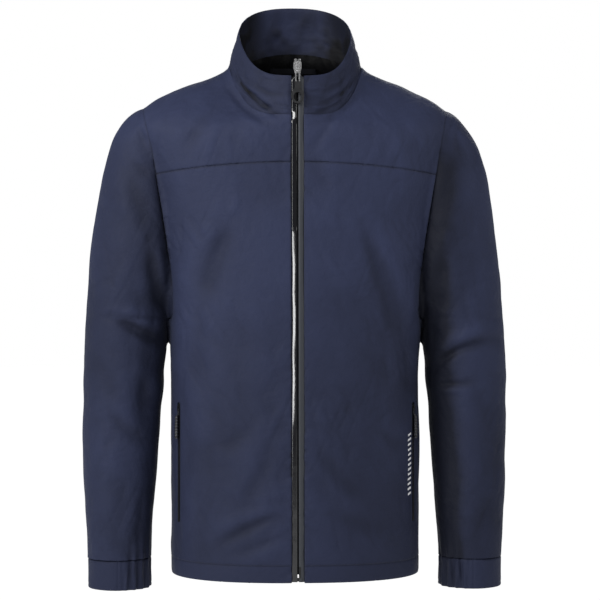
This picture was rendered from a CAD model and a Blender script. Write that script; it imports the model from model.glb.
"""A long-sleeved jacket with a stand collar and a front zip, built over its CAD pieces.

The frame is in metres: x to the wearer's left, y to the back, z up, front zip at x = 0.
Shapes are worked out in millimetres with z = 0 near the hem. SHIFT moves them into the
frame. "Left" and "right" are the wearer's.
"""
import math

import bpy
import numpy as np
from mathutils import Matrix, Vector


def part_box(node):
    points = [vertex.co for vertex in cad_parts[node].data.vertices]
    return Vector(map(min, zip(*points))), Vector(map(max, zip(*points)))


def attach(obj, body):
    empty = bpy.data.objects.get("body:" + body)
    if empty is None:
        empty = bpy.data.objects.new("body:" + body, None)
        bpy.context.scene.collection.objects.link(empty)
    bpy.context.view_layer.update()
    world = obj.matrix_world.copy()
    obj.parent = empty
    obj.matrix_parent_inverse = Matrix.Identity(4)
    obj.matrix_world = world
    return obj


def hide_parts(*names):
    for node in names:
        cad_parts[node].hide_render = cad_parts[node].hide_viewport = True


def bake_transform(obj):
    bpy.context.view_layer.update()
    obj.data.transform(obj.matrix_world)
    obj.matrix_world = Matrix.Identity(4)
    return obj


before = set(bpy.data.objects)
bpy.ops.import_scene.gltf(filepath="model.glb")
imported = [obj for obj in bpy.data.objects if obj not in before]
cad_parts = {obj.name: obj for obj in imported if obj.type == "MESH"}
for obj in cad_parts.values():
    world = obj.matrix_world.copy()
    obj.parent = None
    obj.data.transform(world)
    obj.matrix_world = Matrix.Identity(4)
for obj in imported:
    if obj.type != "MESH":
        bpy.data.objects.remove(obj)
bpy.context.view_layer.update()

SHIFT = np.array([0.0, 0.195, 37.0])
SIDES = (("left", 1), ("right", -1))
VOXEL = 3.0
FRONT_DEPTH, FRONT_LEAN = 128.0, 0.041  # centre front: depth at z = 0, and loss per mm up
CUFF_TOP, CUFF_END = 14.5, -28.0
HEM, HEM_SEAM = -7.0, 15.5
BACK_YOKE_Z = 590.0
SIDE_SEAM_Y = 2.0
ZIP_HALF = 8.6  # from the centre front to the cloth edge
SEAM_HALF = 1.6  # from a seam to the edge line beside it
FINE_SEAM_HALF = 1.4  # the same at the hem and the pocket openings
EYE = np.array([-86.0, -2500.0, 375.0])  # the point the folds are laid out from


def front_depth(z):
    return FRONT_DEPTH - FRONT_LEAN * z


# ---------- numeric helpers ----------
def smooth(start, end, value):
    """Eases from 0 at start to 1 at end."""
    part = np.clip((value - start) / (end - start), 0, 1)
    return part * part * (3 - 2 * part)


def bell(offset, width):
    return np.exp(-((offset / width) ** 2))


def fading(distance, length):
    return np.exp(-np.maximum(distance, 0) / length)


def signed_power(value, power):
    return np.sign(value) * np.abs(value) ** power


def unit(vectors):
    return vectors / np.linalg.norm(vectors, axis=-1, keepdims=True)


def pchip(knots, values, at):
    """A monotone cubic through the values at the knots."""
    steps = np.diff(knots)
    slopes = np.diff(values) / steps
    tangents = np.zeros_like(values)
    tangents[0], tangents[-1] = slopes[0], slopes[-1]
    for i in range(1, len(values) - 1):
        before, after = slopes[i - 1], slopes[i]
        if before * after > 0:
            first = 2 * steps[i] + steps[i - 1]
            second = steps[i] + 2 * steps[i - 1]
            tangents[i] = (first + second) / (first / before + second / after)
    i = np.clip(np.searchsorted(knots, at) - 1, 0, len(steps) - 1)
    part = (at - knots[i]) / steps[i]
    square, cube = part * part, part * part * part
    return (
        (2 * cube - 3 * square + 1) * values[i]
        + (cube - 2 * square + part) * steps[i] * tangents[i]
        + (-2 * cube + 3 * square) * values[i + 1]
        + (cube - square) * steps[i] * tangents[i + 1]
    )


def columns_at(knots, table, at):
    return [pchip(knots, column, at) for column in table.T]


def lengths_along(path):
    return np.concatenate([[0], np.cumsum(np.linalg.norm(np.diff(path, axis=0), axis=1))])


def interpolated(at, knots, rows):
    return np.stack([np.interp(at, knots, column) for column in rows.T], 1)


def resampled(corners, count):
    """A path through the corners, with equal counts of points between them."""
    last = len(corners) - 1
    return interpolated(np.linspace(0, last, count), range(last + 1), np.array(corners, float))


HASH_FACTORS = np.array([73856093, 19349663, 83492791])


def noise(points, scale, seed):
    """Smooth value noise from -1 to 1."""
    place = points / scale + 517.3
    cell = np.floor(place).astype(np.int64)
    part = place - cell
    part = part * part * part * (part * (part * 6 - 15) + 10)
    total = 0
    for corner in np.ndindex(2, 2, 2):
        weight = np.where(corner, part, 1 - part).prod(1)
        mixed = np.bitwise_xor.reduce((cell + corner) * HASH_FACTORS, axis=1)
        mixed = (mixed ^ (seed * 374761393)) & 0xFFFFFFFF
        mixed = ((mixed ^ (mixed >> 13)) * 1274126177) & 0xFFFFFFFF
        mixed = mixed ^ (mixed >> 16)
        total = total + weight * ((mixed & 0xFFFF) / 32767.5 - 1)
    return total


# ---------- triangle helpers ----------
def vertex_normals(points, triangles):
    first, second, third = (points[triangles[:, k]] for k in range(3))
    cross = np.cross(second - first, third - first)
    total = np.zeros_like(points)
    for k in range(3):
        for axis in range(3):
            total[:, axis] += np.bincount(triangles[:, k], cross[:, axis], len(points))
    return total / np.maximum(np.linalg.norm(total, axis=1), 1e-12)[:, None]


def turned(points, triangles, normals):
    """The triangles, wound to face along the normals."""
    if (vertex_normals(points, triangles) * normals).sum() < 0:
        return triangles[:, ::-1]
    return triangles


def edges_of(triangles):
    return np.concatenate([triangles[:, pair] for pair in ([0, 1], [1, 2], [2, 0])])


def relax(points, triangles, rounds, factors=(0.5, -0.52), weight=1.0):
    """Moves points towards the mean of their neighbours, or away for a negative factor."""
    start, end = np.unique(np.sort(edges_of(triangles), 1), axis=0).T
    size = len(points)
    count = (np.bincount(start, minlength=size) + np.bincount(end, minlength=size))[:, None]
    for factor in factors * rounds:
        total = np.stack([
            np.bincount(start, column[end], size) + np.bincount(end, column[start], size)
            for column in points.T
        ], 1)
        points = points + weight * factor * (total / count - points)
    return points


def split(data, triangles, field):
    """Cuts triangles along field = 0; data has a row for each vertex.

    Returns the data, the triangles above zero and those below.
    """
    nearest = 0.22
    snapped = np.where(field >= 0, nearest, -nearest)
    field = np.where(np.abs(field) < nearest, snapped, field)
    above = field > 0
    count = above[triangles].sum(1)
    high, low = triangles[count == 3], triangles[count == 0]
    mixed = triangles[(count == 1) | (count == 2)]
    if not len(mixed):
        return data, high, low
    corner_above = above[mixed]
    lone_above = corner_above.sum(1) == 1
    lone = np.where(lone_above[:, None], corner_above, ~corner_above).argmax(1)
    ordered = np.take_along_axis(mixed, (lone[:, None] + np.arange(3)) % 3, 1)
    edges = np.sort(np.concatenate([ordered[:, [0, 1]], ordered[:, [0, 2]]]), 1)
    keys, index = np.unique(
        edges[:, 0].astype(np.int64) * len(data) + edges[:, 1], return_inverse=True)
    start, end = keys // len(data), keys % len(data)
    part = (field[start] / (field[start] - field[end]))[:, None]
    index = index + len(data)
    data = np.concatenate([data, data[start] * (1 - part) + data[end] * part])
    cut_a, cut_b = index[:len(ordered)], index[len(ordered):]
    tip = np.stack([ordered[:, 0], cut_a, cut_b], 1)
    base_a = np.stack([cut_a, ordered[:, 1], ordered[:, 2]], 1)
    base_b = np.stack([cut_a, ordered[:, 2], cut_b], 1)
    high = np.concatenate([high, tip[lone_above], base_a[~lone_above], base_b[~lone_above]])
    low = np.concatenate([low, tip[~lone_above], base_a[lone_above], base_b[lone_above]])
    return data, high, low


def scored(data, triangles, field, *levels):
    """Adds edge lines along the field's levels without parting the mesh."""
    for level in levels:
        data, high, low = split(data, triangles, field(data) - level)
        triangles = np.concatenate([high, low])
    return data, triangles


def compact(triangles, data):
    used, index = np.unique(triangles, return_inverse=True)
    return index.reshape(triangles.shape), data[used]


def thicken(points, normals, triangles, thickness):
    """A closed skin: the face, a copy below it, and walls round its open edges."""
    size = len(points)
    edges = edges_of(triangles)
    span = int(triangles.max()) + 1
    forward = edges[:, 0].astype(np.int64) * span + edges[:, 1]
    backward = edges[:, 1].astype(np.int64) * span + edges[:, 0]
    start, end = edges[~np.isin(forward, backward)].T
    walls = np.stack([end, start, start + size, end + size], 1)
    skins = np.concatenate([triangles, triangles[:, ::-1] + size])
    return np.concatenate([points, points - normals * thickness]), [skins, walls]


# ---------- grids and solids; a solid is (points, list of face arrays) ----------
def grid_faces(rows, columns, closed_rows=False, closed_columns=False):
    """Quads over a grid whose point (i, j) has the index i * columns + j."""
    i, j = np.meshgrid(np.arange(rows if closed_rows else rows - 1),
                       np.arange(columns if closed_columns else columns - 1), indexing="ij")
    below, beside = (i + 1) % rows * columns, (j + 1) % columns
    corners = [i * columns + j, below + j, below + beside, i * columns + beside]
    return np.stack(corners, -1).reshape(-1, 4)


def halved(quads):
    return np.concatenate([quads[:, [0, 1, 2]], quads[:, [0, 2, 3]]])


def outward(points, faces):
    """The solid with its faces wound outward."""
    triangles = np.concatenate([halved(f) if f.shape[1] == 4 else f for f in faces])
    first, second, third = ((points - points.mean(0))[triangles[:, k]] for k in range(3))
    volume = np.einsum("ij,ij->i", np.cross(first, second), third).sum()
    return points, [f if volume > 0 else f[:, ::-1] for f in faces]


def capped(grid):
    """A closed solid from rings of points: grid[i, j] has i along it and j round it."""
    rows, columns = grid.shape[:2]
    points = np.concatenate([grid.reshape(-1, 3), grid[0].mean(0)[None], grid[-1].mean(0)[None]])
    j = np.arange(columns)
    beside = (j + 1) % columns
    last, centre = (rows - 1) * columns, rows * columns
    caps = np.concatenate([
        np.stack([np.full(columns, centre), beside, j], 1),
        np.stack([np.full(columns, centre + 1), last + j, last + beside], 1),
    ])
    return outward(points, [grid_faces(rows, columns, closed_columns=True), caps])


def tube(path, radius, sides=8):
    along = np.gradient(path, axis=0)
    along /= np.maximum(np.linalg.norm(along, axis=1), 1e-9)[:, None]
    side = np.array([0.0, 0.0, 1.0] if abs(along[0, 2]) < 0.9 else [1.0, 0.0, 0.0])
    angle = (np.arange(sides) * math.tau / sides)[:, None]
    rings = []
    for centre, direction, reach in zip(path, along, np.broadcast_to(radius, len(path))):
        side = side - direction * side.dot(direction)
        side /= np.linalg.norm(side)
        across = np.cross(direction, side)
        rings.append(centre + reach * (np.cos(angle) * side + np.sin(angle) * across))
    return capped(np.array(rings))


def joined(solids):
    points, quads, triangles, size = [], [], [], 0
    for part, faces in solids:
        points.append(part)
        for face in faces:
            (quads if face.shape[1] == 4 else triangles).append(face + size)
        size += len(part)
    return np.concatenate(points), [np.concatenate(f) for f in (quads, triangles) if f]


# ---------- objects ----------
def make_mesh(name, points, faces, material, uv=None, wrap=None, sharp=None, tone=None):
    """uv is in mm for each point, and wrap is the period of u; uv and tone repeat if short."""
    mesh = bpy.data.meshes.new(name)
    faces = [f for f in faces if len(f)]
    corners = np.concatenate([f.ravel() for f in faces]).astype(np.int32)
    sizes = np.concatenate([np.full(len(f), f.shape[1]) for f in faces]).astype(np.int32)
    starts = np.concatenate([[0], np.cumsum(sizes)[:-1]]).astype(np.int32)
    mesh.vertices.add(len(points))
    place = (points + SHIFT) * 0.001
    mesh.vertices.foreach_set("co", place.astype(np.float32).ravel())
    mesh.loops.add(len(corners))
    mesh.loops.foreach_set("vertex_index", corners)
    mesh.polygons.add(len(sizes))
    mesh.polygons.foreach_set("loop_start", starts)
    mesh.polygons.foreach_set("loop_total", sizes)
    mesh.update(calc_edges=True)
    mesh.polygons.foreach_set("use_smooth", np.ones(len(sizes), bool))
    if uv is not None:
        layer = mesh.uv_layers.new(name="cloth")
        placed_uv = np.resize(uv, (len(points), 2))[corners]
        if wrap:
            first = np.repeat(placed_uv[starts, 0], sizes)
            placed_uv[:, 0] -= np.round((placed_uv[:, 0] - first) / wrap) * wrap
        layer.data.foreach_set("uv", (placed_uv * 0.1).astype(np.float32).ravel())
    if tone is not None:
        attribute = mesh.attributes.new("tone", "FLOAT", "POINT")
        attribute.data.foreach_set("value", np.resize(tone, len(points)).astype(np.float32))
    mesh.validate()
    if sharp:
        mesh.set_sharp_from_angle(angle=math.radians(sharp))
    obj = bpy.data.objects.new(name, mesh)
    bpy.context.scene.collection.objects.link(obj)
    mesh.materials.append(material)
    return obj


def piece(name, solid, material, slot, node=None, rides="jacket", **surface):
    obj = make_mesh(name, *solid, material, **surface)
    if node:
        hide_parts(node)
    if rides:
        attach(obj, rides)
    return obj


# ---------- the torso and arm forms ----------
# Half width, back depth, height at side, front and back, roundness of the section, and how
# late the front height rises to the side's.
RINGS = np.array([
    (174.5, 117, -40, -40, -40, 2.4, 2),
    (175.0, 117, 0, 0, 0, 2.4, 2),
    (175.3, 113, 160, 160, 160, 2.4, 2),
    (176.0, 116, 300, 300, 300, 2.4, 2),
    (182.0, 124, 400, 400, 400, 2.45, 2),
    (196.0, 128, 490, 490, 490, 2.5, 2),
    (217.0, 124, 570, 560, 570, 2.5, 2),
    (228.0, 117, 620, 592, 625, 2.35, 2.2),
    (210.0, 111, 647, 605, 656, 2.2, 2.6),
    (160.0, 100, 675, 616, 694, 2.1, 3.4),
    (94.0, 84, 708, 629, 730, 2.0, 4.5),
    (91.5, 84, 745, 665, 765, 2.0, 4.5),
], float)
RING_Z = RINGS[:, 2:5].sum(1) / 3
RING_LENGTHS = np.concatenate([[0], np.cumsum(np.hypot(np.diff(RINGS[:, 0]), np.diff(RING_Z)))])


def torso(angle, length):
    """The body surface: angle 0 at the left, 90 degrees at the back; length runs up it."""
    width, back, side_z, front_z, back_z, roundness, late = columns_at(
        RING_LENGTHS, RINGS, length)
    cos, sin = np.cos(angle), np.sin(angle)
    front = sin < 0
    depth = np.where(front, front_depth(front_z), back)
    z = np.where(front, front_z + (side_z - front_z) * np.abs(cos) ** late,
                 back_z + (side_z - back_z) * np.abs(cos) ** 2.2)
    power = 2 / roundness
    return np.stack([width * signed_power(cos, power), depth * signed_power(sin, power), z], -1)


def rings_over(surface, count, lengths, *options):
    """A grid of a surface: rows along its lengths, columns round it."""
    angles = np.linspace(0, math.tau, count, endpoint=False)
    length, angle = np.meshgrid(lengths, angles, indexing="ij")
    return surface(angle, length, *options)


def torso_length(z):
    return float(np.interp(z, RING_Z, RING_LENGTHS))


# Outer point x, z, inner point x, z, half depth, centre y, from the shoulder down.
ARM = np.array([
    (190, 652, 140, 560, 52, 5),
    (221, 643, 146, 520, 60, 5),
    (244, 622.5, 150, 482, 65, 5),
    (259.5, 596, 156, 440, 69, 5),
    (270.5, 559, 162, 400, 71, 4),
    (278, 517, 169, 372, 72, 8),
    (287.5, 453, 175.5, 350, 71, 9),
    (294.6, 389, 180.5, 331, 69, 9),
    (299, 325, 183, 305, 65.5, 8),
    (300, 262, 186.5, 262, 61.5, 5),
    (300, 215, 190.5, 215, 58, 2),
    (298.5, 150, 195, 150, 54, -4),
    (296, 95, 198, 95, 50, -11),
    (293.2, 48, 201, 48, 46.5, -14),
    (291.4, 5, 202.5, 5, 43.5, -15),
    (291, -25, 202.5, -25, 43, -15),
], float)
ARM_LENGTHS = lengths_along((ARM[:, 0:2] + ARM[:, 2:4]) / 2)
# The arm's stations from the cuff up.
ARM_UP = ARM[::-1]
ARM_UP_Z = (ARM_UP[:, 1] + ARM_UP[:, 3]) / 2


def arm(angle, length, side, inset=0.0):
    """An arm surface: angle 0 outside, 90 degrees at the back; length runs down it."""
    outer_x, outer_z, inner_x, inner_z, depth, centre_y = columns_at(ARM_LENGTHS, ARM, length)
    centre_x, centre_z = (outer_x + inner_x) / 2, (outer_z + inner_z) / 2
    reach_x, reach_z = (outer_x - inner_x) / 2, (outer_z - inner_z) / 2
    reach = np.hypot(reach_x, reach_z)
    scale = (reach - inset) / reach
    across = signed_power(np.cos(angle), 0.95)
    back = signed_power(np.sin(angle), 0.95)
    return np.stack([side * (centre_x + reach_x * scale * across),
                     centre_y + (depth - inset) * back,
                     centre_z + reach_z * scale * across], -1)


def around_arm(points):
    """The angle round the arm, and how far inward of its centre as a share of half width."""
    z = points[:, 2]
    centre = np.interp(z, ARM_UP_Z, (ARM_UP[:, 0] + ARM_UP[:, 2]) / 2)
    half = np.interp(z, ARM_UP_Z, (ARM_UP[:, 0] - ARM_UP[:, 2]) / 2)
    outside = np.abs(points[:, 0]) - centre
    angle = np.arctan2(points[:, 1] - np.interp(z, ARM_UP_Z, ARM_UP[:, 5]), outside)
    return angle, -outside / half


# ---------- seam fields: zero on the seam ----------
def armhole_x(z):
    return 172.5 + 38.5 * np.clip((z - 373) / 258, 0, 1.3) ** 1.5


def armhole(points):
    """Above zero on the sleeve side."""
    x, z = np.abs(points[:, 0]), points[:, 2]
    beside, over = x - armhole_x(z), z - 346.0
    blend = 12.0
    part = np.clip(0.5 + 0.5 * (over - beside) / blend, 0, 1)
    lower = over + (beside - over) * part - blend * part * (1 - part)
    return np.maximum(lower, np.minimum(x - 179.3, 354.0 - z))


def neckline(points):
    across = np.minimum(np.abs(points[:, 0]) / 94.0, 1.0)
    front, back = 629 + 75 * across**4.5, 730 - 26 * across**2.2
    return points[:, 2] - np.where(points[:, 1] < 0, front, back)


def front_yoke(points):
    return points[:, 2] - (564 - 13.5 * (np.abs(points[:, 0]) / 190) ** 1.8)


def back_yoke(points):
    return points[:, 2] - BACK_YOKE_Z


def yoke(points):
    return np.where(points[:, 1] < SIDE_SEAM_Y, front_yoke(points), back_yoke(points))


def side_seam(points):
    return points[:, 1] - SIDE_SEAM_Y


def hem_seam(points):
    return points[:, 2] - HEM_SEAM


def zip_edge(points):
    return np.abs(points[:, 0]) - ZIP_HALF


# A zip frame is (origin, across, up, out). The pocket zips lie as in the CAD frame.
def pocket_frame(side):
    up = np.array([-0.0058069 * side, 0.0181483, 0.9998184])
    across = np.array([0.4559386, 0.8899088 * side, -0.0135052 * side])
    origin = np.array([0.162682 * side, -0.053751, 0.187]) * 1000 - SHIFT
    return origin, across, up, np.cross(across, up)


POCKETS = {name: pocket_frame(side) for name, side in SIDES}


def in_pocket(points, pocket):
    origin, across, up, out = pocket
    offset = points[:, :3] - origin
    return offset @ across, offset @ up, offset @ out


def pocket_slot(points):
    nearest = np.full(len(points), 99.0)
    for pocket in POCKETS.values():
        across, height, out = in_pocket(points, pocket)
        distance = np.maximum(np.abs(across) - 4.4, np.abs(height) - 82.5)
        nearest = np.where(np.abs(out) < 25, np.minimum(nearest, distance), nearest)
    return nearest


# ---------- folds ----------
def sighted(points):
    """The x and z where the line from EYE through each point meets the plane y = 0."""
    scale = (points[:, 1] - EYE[1]) / -EYE[1]
    return [(points[:, k] - EYE[k]) / scale + EYE[k] for k in (0, 2)]


FOLD_DEPTH = 1.75  # scales every fold
RIDGE = 0.55  # ridge height against valley depth
FINE_FOLD = 4.9  # folds narrower than this are drawn in, wider ones spread


def crease(x, z, depth, width, side, *line):
    """A valley along a polyline, with a soft ridge beside it."""
    line = np.array(line)
    lengths = lengths_along(line)
    nearest = np.full(x.shape, 1e9)
    beside = np.zeros(x.shape)
    along = np.zeros(x.shape)
    for k, (start, run) in enumerate(zip(line, np.diff(line, axis=0))):
        square = run.dot(run)
        part = np.clip(((x - start[0]) * run[0] + (z - start[1]) * run[1]) / square, 0, 1)
        gap_x, gap_z = x - (start[0] + run[0] * part), z - (start[1] + run[1] * part)
        distance = np.hypot(gap_x, gap_z)
        closer = distance < nearest
        nearest = np.where(closer, distance, nearest)
        signed = np.sign(run[1] * gap_x - run[0] * gap_z) * distance
        beside = np.where(closer, signed, beside)
        along = np.where(closer, (lengths[k] + part * math.sqrt(square)) / lengths[-1], along)
    beside = beside * side
    fade = 0.25 + 0.75 * smooth(0, 0.3, along) * (1 - smooth(0.7, 1.0, along))
    width = (1.25 if width > FINE_FOLD else 0.95) * width * (0.75 + 0.5 * along)
    shape = RIDGE * bell(beside - 2.1 * width, 1.5 * width) - bell(beside, width)
    return FOLD_DEPTH * depth * fade * shape


def folds(seen, table):
    return sum(crease(*seen, *row) for row in table)


# Depth, width, side of the ridge (1 on the right of the line with x right and z up), then
# the (x, z) points of the line, on the plane y = 0 as sighted from EYE.
BODY_FOLDS = [
    (2.3, 10.65, 1, (-90.88, 486.98), (-107.92, 450.06), (-122.12, 403.2), (-129.22, 369.12)),
    (1.2, 11.36, 1, (-129.22, 369.12), (-139.16, 318.0), (-146.26, 254.1)),
    (1.2, 7.81, -1, (-115.02, 644.6), (-137.74, 619.04), (-157.62, 584.96)),
    (1.9, 5.964, 1, (-12.78, 68.08), (-46.86, 59.56), (-83.78, 42.52), (-117.86, 22.64)),
    (0.8, 5.68, -1, (-7.1, 41.1), (-46.86, 26.9), (-99.4, 11.28)),
    (1.1, 9.23, 1, (-32.66, 158.96), (-52.54, 119.2), (-73.84, 73.76)),
    (0.8, 8.52, -1, (-63.9, 195.88), (-83.78, 176.0), (-110.76, 161.8)),
    (0.7, 7.1, 1, (-11.36, 211.5), (-26.98, 181.68), (-46.86, 147.6)),
    (0.8, 8.52, -1, (-163.3, 261.2), (-157.62, 204.4), (-149.1, 158.96)),
    (0.6, 17.04, 1, (-80.94, 374.8), (-89.46, 303.8), (-83.78, 232.8)),
    (2.9, 9.23, -1, (96.56, 482.72), (112.18, 442.96), (130.64, 394.68), (144.84, 349.24),
     (157.62, 310.9)),
    (1.2, 8.52, -1, (157.62, 310.9), (161.88, 272.56), (166.14, 235.64)),
    (1.1, 9.23, 1, (31.24, 170.32), (55.38, 130.56), (80.94, 102.16), (107.92, 86.54)),
    (0.6, 7.81, 1, (24.14, 136.24), (44.02, 96.48), (78.1, 62.4)),
    (0.9, 7.1, -1, (124.96, 188.78), (137.74, 173.16), (154.78, 163.22)),
    (0.9, 8.52, 1, (49.7, 531.0), (34.08, 562.24), (25.56, 587.8)),
    (0.8, 8.52, 1, (146.26, 630.4), (163.3, 604.84), (173.24, 579.28)),
    (0.6, 11.36, 1, (80.94, 232.8), (68.16, 197.3), (78.1, 167.48)),
    (0.7, 8.52, -1, (32.66, 73.76), (71.0, 62.4), (120.7, 48.2)),
    (0.6, 4.97, 1, (-38.34, 619.04), (-19.88, 599.16), (-8.52, 576.44)),
    (0.6, 4.97, -1, (53.96, 630.4), (38.34, 610.52), (24.14, 587.8)),
]
NECK_FOLDS = [
    (1.0, 3.692, 1, (-88.04, 695.72), (-69.58, 673.0), (-46.86, 653.12), (-24.14, 644.6)),
    (0.8, 3.692, -1, (-78.1, 681.52), (-55.38, 658.8), (-32.66, 640.34), (-9.94, 631.82)),
    (0.7, 4.544, 1, (-97.98, 678.68), (-75.26, 650.28), (-46.86, 627.56), (-15.62, 619.04)),
    (0.5, 3.408, 1, (-61.06, 681.52), (-38.34, 668.74), (-9.94, 665.9)),
    (1.0, 3.692, -1, (86.62, 690.04), (69.58, 670.16), (46.86, 655.96), (24.14, 650.28)),
    (0.6, 3.408, -1, (78.1, 701.4), (63.9, 681.52), (38.34, 668.74)),
    (0.8, 3.692, 1, (78.1, 670.16), (58.22, 653.12), (32.66, 640.34), (18.46, 636.08)),
    (0.7, 4.544, -1, (97.98, 678.68), (72.42, 647.44), (46.86, 630.4), (18.46, 621.88)),
]
BACK_FOLDS = [
    (2.6, 21.3, 1, (-113.6, 531.0), (-127.8, 417.4), (-117.86, 261.2), (-129.22, 133.4)),
    (2.6, 21.3, -1, (113.6, 538.1), (132.06, 403.2), (120.7, 232.8), (134.9, 90.8)),
    (1.8, 28.4, 1, (1.42, 460.0), (9.94, 318.0), (-1.42, 161.8)),
    (1.4, 12.78, 1, (-63.9, 133.4), (-69.58, 62.4), (-61.06, 5.6)),
    (1.4, 12.78, -1, (63.9, 154.7), (72.42, 69.5), (61.06, 8.44)),
    (1.8, 8.52, 1, (-177.5, 374.8), (-142.0, 386.16), (-99.4, 374.8)),
    (1.8, 8.52, -1, (177.5, 380.48), (146.26, 389.0), (103.66, 374.8)),
]
RIGHT_SLEEVE_FOLDS = [
    (3.4, 5.964, -1, (-259.86, 349.24), (-239.98, 342.14), (-217.26, 327.94),
     (-186.02, 313.74)),
    (2.4, 9.94, -1, (-205.9, 278.24), (-213.0, 244.16), (-214.42, 212.92), (-207.32, 181.68)),
    (1.6, 7.1, -1, (-262.7, 218.6), (-245.66, 195.88), (-228.62, 183.1), (-207.32, 178.84)),
    (2.6, 7.81, -1, (-205.9, 460.0), (-201.64, 420.24), (-194.54, 386.16), (-181.76, 357.76)),
    (1.2, 9.94, -1, (-237.14, 550.88), (-220.1, 508.28), (-208.74, 465.68)),
    (1.3, 4.97, -1, (-221.52, 621.88), (-213.0, 602.0), (-205.9, 584.96)),
    (0.9, 5.68, -1, (-234.3, 576.44), (-220.1, 562.24), (-203.06, 550.88)),
    (0.8, 12.78, 1, (-271.22, 477.04), (-265.54, 428.76), (-271.22, 374.8)),
    (0.8, 9.94, 1, (-251.34, 133.4), (-242.82, 83.7), (-248.5, 34.0)),
    (1.1, 6.39, 1, (-217.26, 90.8), (-220.1, 55.3), (-224.36, 19.8)),
    (0.9, 9.94, 1, (-276.9, 289.6), (-265.54, 255.52), (-248.5, 227.12)),
]
LEFT_SLEEVE_FOLDS = [
    (3.4, 5.396, -1, (195.96, 273.98), (211.58, 291.02), (231.46, 303.8), (257.02, 312.32),
     (284.0, 319.42)),
    (1.8, 4.828, 1, (195.96, 254.1), (222.94, 255.52), (259.86, 256.94)),
    (1.0, 8.52, 1, (248.5, 255.52), (265.54, 232.8), (274.06, 198.72)),
    (2.4, 8.52, 1, (215.84, 438.7), (205.9, 397.52), (197.38, 357.76)),
    (1.0, 8.52, 1, (232.88, 587.8), (224.36, 550.88), (217.26, 508.28)),
    (0.9, 5.68, -1, (228.62, 613.36), (234.3, 593.48), (245.66, 570.76)),
    (1.4, 7.1, 1, (191.7, 343.56), (200.22, 318.0), (195.96, 286.76)),
    (0.9, 11.36, 1, (242.82, 460.0), (248.5, 410.3), (237.14, 357.76)),
    (0.8, 9.94, -1, (222.94, 176.0), (228.62, 122.04), (224.36, 73.76)),
    (0.7, 8.52, 1, (268.38, 90.8), (262.7, 55.3), (266.96, 22.64)),
]
# Small creases: angle in the xz plane, length, width, depth.
CRUMPLES = [(1.15, 60, 13, 0.75), (-0.95, 55, 12, 0.75), (0.25, 48, 10, 0.45),
            (1.75, 70, 16, 0.6), (-0.35, 36, 8, 0.3)]


def crumple(points, angle, length, width, seed):
    """Short creases at an angle: the valleys are sharp, the cloth between them is full."""
    cos, sin = math.cos(angle), math.sin(angle)
    x, y, z = points.T
    along, across = x * cos + z * sin, -x * sin + z * cos
    waves = noise(np.stack([along / length, across / width, y / (2 * width)], 1), 1.0, seed)
    gate = smooth(-0.15, 0.45, noise(points, 60, seed + 1))
    return (np.minimum(np.abs(waves) * 2.6, 1.0) - 0.75) * gate


def rumple(points):
    lift = 0
    for k, (angle, length, width, depth) in enumerate(CRUMPLES):
        lift = lift + depth * crumple(points, angle, length, width, 100 + 7 * k)
    return lift + 0.13 * noise(points, 11, 151)


def gathers(angle):
    return np.sin(angle * 17 + 1.5 * np.sin(angle * 3))


def cloth_relief(points, normals):
    """How far plain cloth stands off the smooth form."""
    soft = 1.6 * noise(points, 95, 1) + 0.9 * noise(points, 42, 2) + 0.25 * noise(points, 17, 3)
    return soft + rumple(points) * (0.2 + 0.8 * smooth(0.15, 0.6, np.abs(normals[:, 1])))


def body_relief(points, normals):
    x, y, z = points.T
    seen = sighted(points)
    seam = smooth(0, 14, -armhole(points))
    facing = smooth(0.02, 0.45, -normals[:, 1])
    rear = smooth(0.02, 0.45, normals[:, 1])
    lift = cloth_relief(points, normals) * smooth(2, 40, z)
    lift += facing * seam * folds(seen, BODY_FOLDS)
    lift += facing * seam * folds(seen, NECK_FOLDS) * smooth(540, 600, z) * 1.1
    lift += rear * seam * folds(seen, BACK_FOLDS)
    # Small puckers along the zip, stronger low down, and along the hem seam.
    beside_zip = fading(zip_edge(points), 11.0) * facing * (0.35 + 0.65 * smooth(240, 90, z))
    waves = np.sin((z + 0.4 * np.abs(x)) / 2.3 + 2.4 * noise(points, 22, 8))
    waves = 0.75 * waves * smooth(-0.4, 0.4, noise(points, 30, 18))
    lift += beside_zip * (waves + 0.8 * noise(points * [1, 1, 2.2], 14, 4))
    lift += fading(np.abs(z - HEM_SEAM), 8.0) * 0.30 * noise(points * [2, 2, 0.5], 11, 5)
    # The cloth lies flat round the pocket zips.
    for pocket in POCKETS.values():
        across, height, out = in_pocket(points, pocket)
        gap = np.hypot(np.maximum(np.abs(across) - 4.0, 0),
                       np.maximum(np.abs(height + 20) - 105, 0))
        near = np.where(np.abs(out) < 30, bell(gap, 9.0), 0)
        lift = lift * (1 - 0.9 * near) - near * (0.3 + 0.9 * smooth(-80, -86, height))
    return lift


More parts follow.
